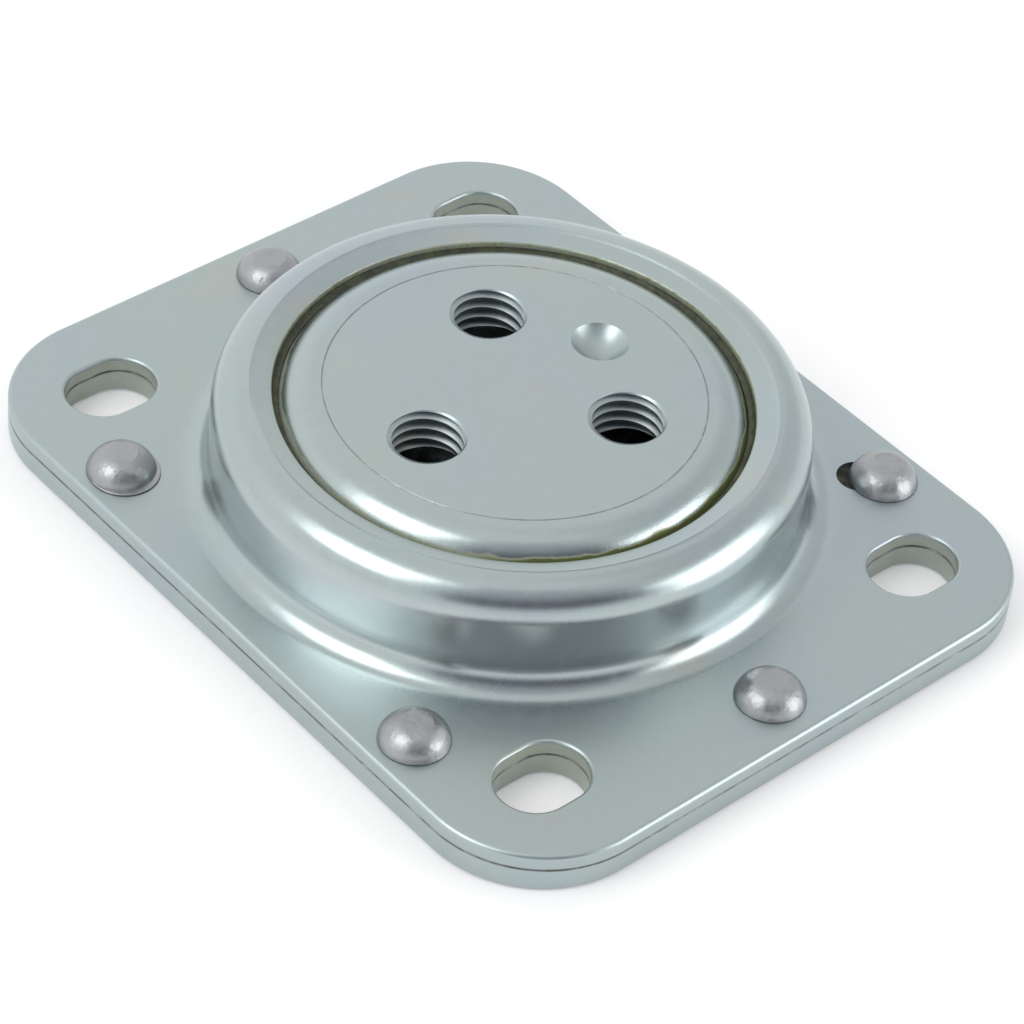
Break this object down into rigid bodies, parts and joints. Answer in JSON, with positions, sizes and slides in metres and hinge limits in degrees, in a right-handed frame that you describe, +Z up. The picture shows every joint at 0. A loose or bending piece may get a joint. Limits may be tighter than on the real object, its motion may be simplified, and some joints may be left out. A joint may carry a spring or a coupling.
{
  "type": "swivel plate",
  "caption": "Flat two-layer mounting plate with a pressed dome in which a ball-bearing rotor with tapped holes turns without a stop.",
  "frame": {"origin": "centre of the base plate's resting face, on the swivel axis", "axes": "X along the short side, Y along the long side, Z up along the swivel axis"},
  "size_m": [0.085, 0.105, 0.0186],
  "materials": {
    "upper_plate": "zinc plated and blue passivated, semi-gloss",
    "base_plate": "zinc plated and blue passivated, semi-gloss",
    "rotor": "zinc plated and blue passivated, faced flat, with faint smudges",
    "rivet": "plain steel, snapped heads",
    "ball": "polished bearing steel"
  },
  "bodies": {
    "plates": {"upper_plate": "upper_plate", "base_plate": "base_plate", "rivet_1": "rivet", "rivet_2": "rivet", "rivet_3": "rivet", "rivet_4": "rivet", "rivet_5": "rivet", "rivet_6": "rivet"},
    "rotor": {"rotor": "rotor"},
    "upper_ball_row": {"upper_ball_1": "ball", "upper_ball_2": "ball", "upper_ball_3": "ball", "upper_ball_4": "ball", "upper_ball_5": "ball", "upper_ball_6": "ball", "upper_ball_7": "ball", "upper_ball_8": "ball", "upper_ball_9": "ball", "upper_ball_10": "ball", "upper_ball_11": "ball", "upper_ball_12": "ball", "upper_ball_13": "ball", "upper_ball_14": "ball", "upper_ball_15": "ball", "upper_ball_16": "ball", "upper_ball_17": "ball", "upper_ball_18": "ball", "upper_ball_19": "ball", "upper_ball_20": "ball", "upper_ball_21": "ball", "upper_ball_22": "ball", "upper_ball_23": "ball", "upper_ball_24": "ball", "upper_ball_25": "ball", "upper_ball_26": "ball"},
    "lower_ball_row": {"lower_ball_1": "ball", "lower_ball_2": "ball", "lower_ball_3": "ball", "lower_ball_4": "ball", "lower_ball_5": "ball", "lower_ball_6": "ball", "lower_ball_7": "ball", "lower_ball_8": "ball", "lower_ball_9": "ball", "lower_ball_10": "ball", "lower_ball_11": "ball", "lower_ball_12": "ball", "lower_ball_13": "ball", "lower_ball_14": "ball", "lower_ball_15": "ball", "lower_ball_16": "ball", "lower_ball_17": "ball", "lower_ball_18": "ball", "lower_ball_19": "ball", "lower_ball_20": "ball", "lower_ball_21": "ball", "lower_ball_22": "ball", "lower_ball_23": "ball", "lower_ball_24": "ball"}
  },
  "joints": [
    {"name": "rotor_swivel", "type": "hinge", "parent": "plates", "child": "rotor", "pos_m": [0, 0, 0], "axis": [0, 0, 1], "continuous": true},
    {"name": "upper_row_orbit", "type": "hinge", "parent": "plates", "child": "upper_ball_row", "pos_m": [0, 0, 0], "axis": [0, 0, 1], "continuous": true},
    {"name": "lower_row_orbit", "type": "hinge", "parent": "plates", "child": "lower_ball_row", "pos_m": [0, 0, 0], "axis": [0, 0, 1], "continuous": true}
  ],
  "couplings": [
    {"joint": "upper_row_orbit", "follows": "rotor_swivel", "ratio": 0.46},
    {"joint": "lower_row_orbit", "follows": "rotor_swivel", "ratio": 0.5}
  ]
}
